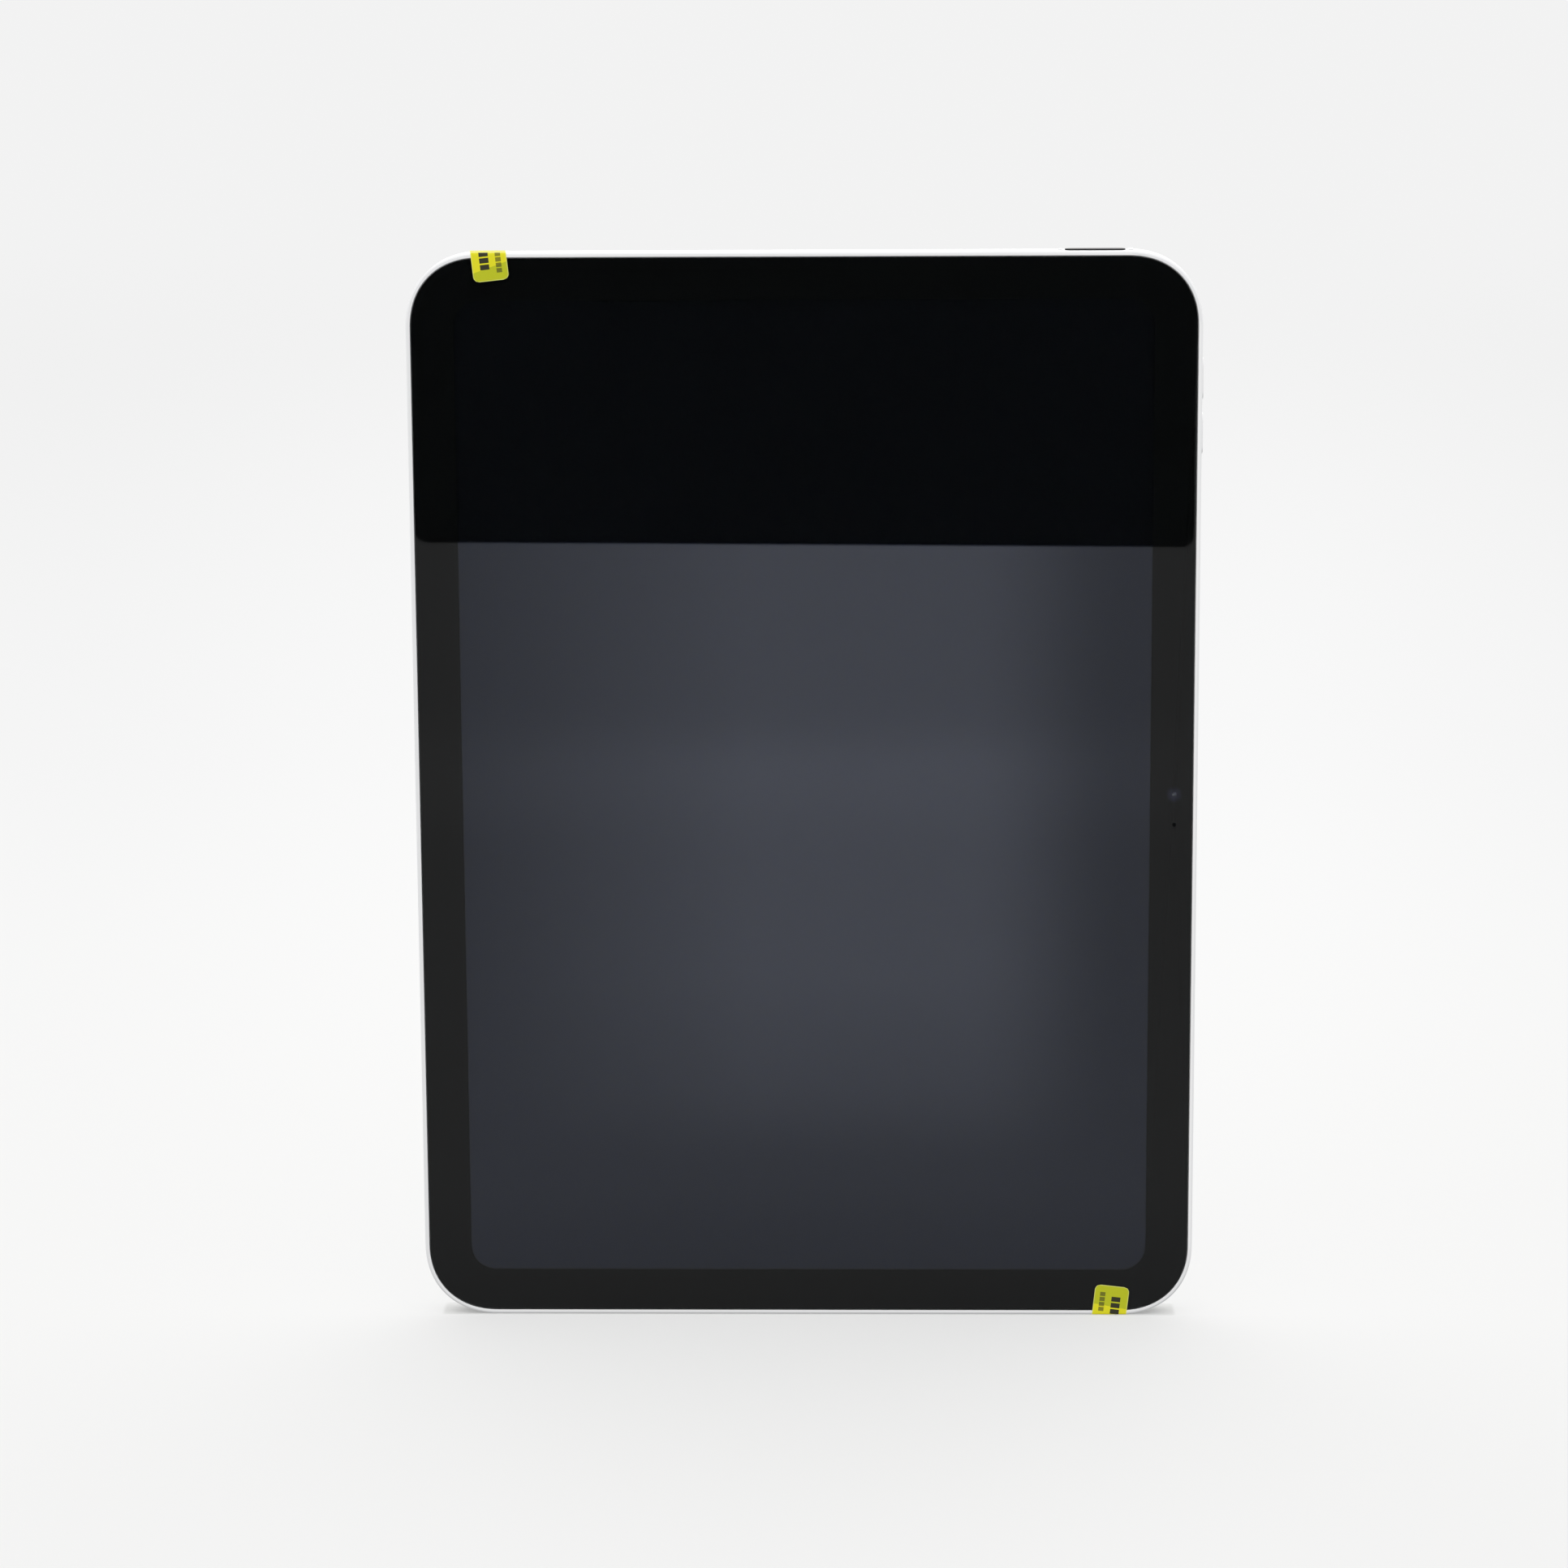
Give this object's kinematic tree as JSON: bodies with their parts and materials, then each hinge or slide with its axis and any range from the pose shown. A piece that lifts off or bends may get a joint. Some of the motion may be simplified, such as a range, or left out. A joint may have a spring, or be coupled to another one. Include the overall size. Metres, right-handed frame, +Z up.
{
  "type": "tablet computer",
  "caption": "Flat-sided tablet computer with an aluminium tray, a full-face glass screen, edge buttons, edge speakers, a charging port and a raised rear camera.",
  "frame": {"origin": "middle of the bottom edge that the upright tablet stands on, midway through its thickness with the rear camera's ring", "axes": "+Z up along the long side, -Y out of the screen, +X to the right of someone looking at the screen"},
  "size_m": [0.1798, 0.0081, 0.249],
  "materials": {
    "aluminium": "satin, bead-blasted and clear anodised",
    "cover_glass": "polished, over a black printed border",
    "sensor_cover": "polished, black",
    "lens": "polished, coated",
    "lcd": "dark, smooth",
    "film": "white, smooth",
    "steel": "brushed",
    "pouch": "matte black foil",
    "board": "solder mask",
    "chip": "moulded, matte",
    "black_plastic": "moulded, fine texture",
    "flex": "polyimide",
    "rubber": "matte",
    "gold": "plated",
    "magnet": "nickel plated",
    "sticker": "bright printed film"
  },
  "bodies": {
    "tablet": {"backlight_led_bar": "film", "battery_cell_left": "pouch", "battery_cell_right": "pouch", "battery_protection_board": "board", "board_screw_1": "steel", "board_screw_2": "steel", "board_screw_3": "steel", "board_screw_4": "steel", "board_shield": "steel", "bracket_screw_1": "steel", "bracket_screw_2": "steel", "charge_port_flex": "flex", "cover_glass": "cover_glass", "cover_glass_gasket": "rubber", "cover_magnet_left": "magnet", "cover_magnet_right": "magnet", "diffuser_film": "film", "display_back_plate": "steel", "display_driver_board": "board", "display_flex": "flex", "front_camera_lens": "lens", "front_camera_module": "black_plastic", "inspection_label_bottom": "sticker", "inspection_label_top": "sticker", "keyboard_contact_1": "gold", "keyboard_contact_2": "gold", "keyboard_contact_3": "gold", "lcd_panel": "lcd", "light_guide_plate": "film", "light_sensor": "chip", "logic_board": "board", "power_chip": "chip", "processor_chip": "chip", "rear_camera_lens": "lens", "rear_camera_module": "black_plastic", "rear_camera_ring": "aluminium", "rear_camera_window": "lens", "rear_housing": "aluminium", "rear_microphone": "steel", "speaker_bottom_left": "black_plastic", "speaker_bottom_right": "black_plastic", "speaker_mesh_bottom_left": "rubber", "speaker_mesh_bottom_right": "rubber", "speaker_mesh_top_left": "rubber", "speaker_mesh_top_right": "rubber", "speaker_top_left": "black_plastic", "speaker_top_right": "black_plastic", "storage_chip": "chip", "top_button_bracket": "steel", "top_button_switch": "steel", "usb_c_bracket": "steel", "usb_c_shell": "steel", "usb_c_tongue": "black_plastic", "volume_down_switch": "steel", "volume_switch_bracket": "steel", "volume_up_switch": "steel"},
    "top_button": {"top_button": "aluminium", "fingerprint_sensor_cover": "sensor_cover"},
    "volume_up_button": {"volume_up_button": "aluminium"},
    "volume_down_button": {"volume_down_button": "aluminium"}
  },
  "joints": [
    {"name": "top_button_press", "type": "slide", "parent": "tablet", "child": "top_button", "axis": [0, 0, -1], "range_m": [0, 0.00025], "stiffness_N_per_m": 6000},
    {"name": "volume_up_press", "type": "slide", "parent": "tablet", "child": "volume_up_button", "axis": [-1, 0, 0], "range_m": [0, 0.00025], "stiffness_N_per_m": 6000},
    {"name": "volume_down_press", "type": "slide", "parent": "tablet", "child": "volume_down_button", "axis": [-1, 0, 0], "range_m": [0, 0.00025], "stiffness_N_per_m": 6000}
  ]
}
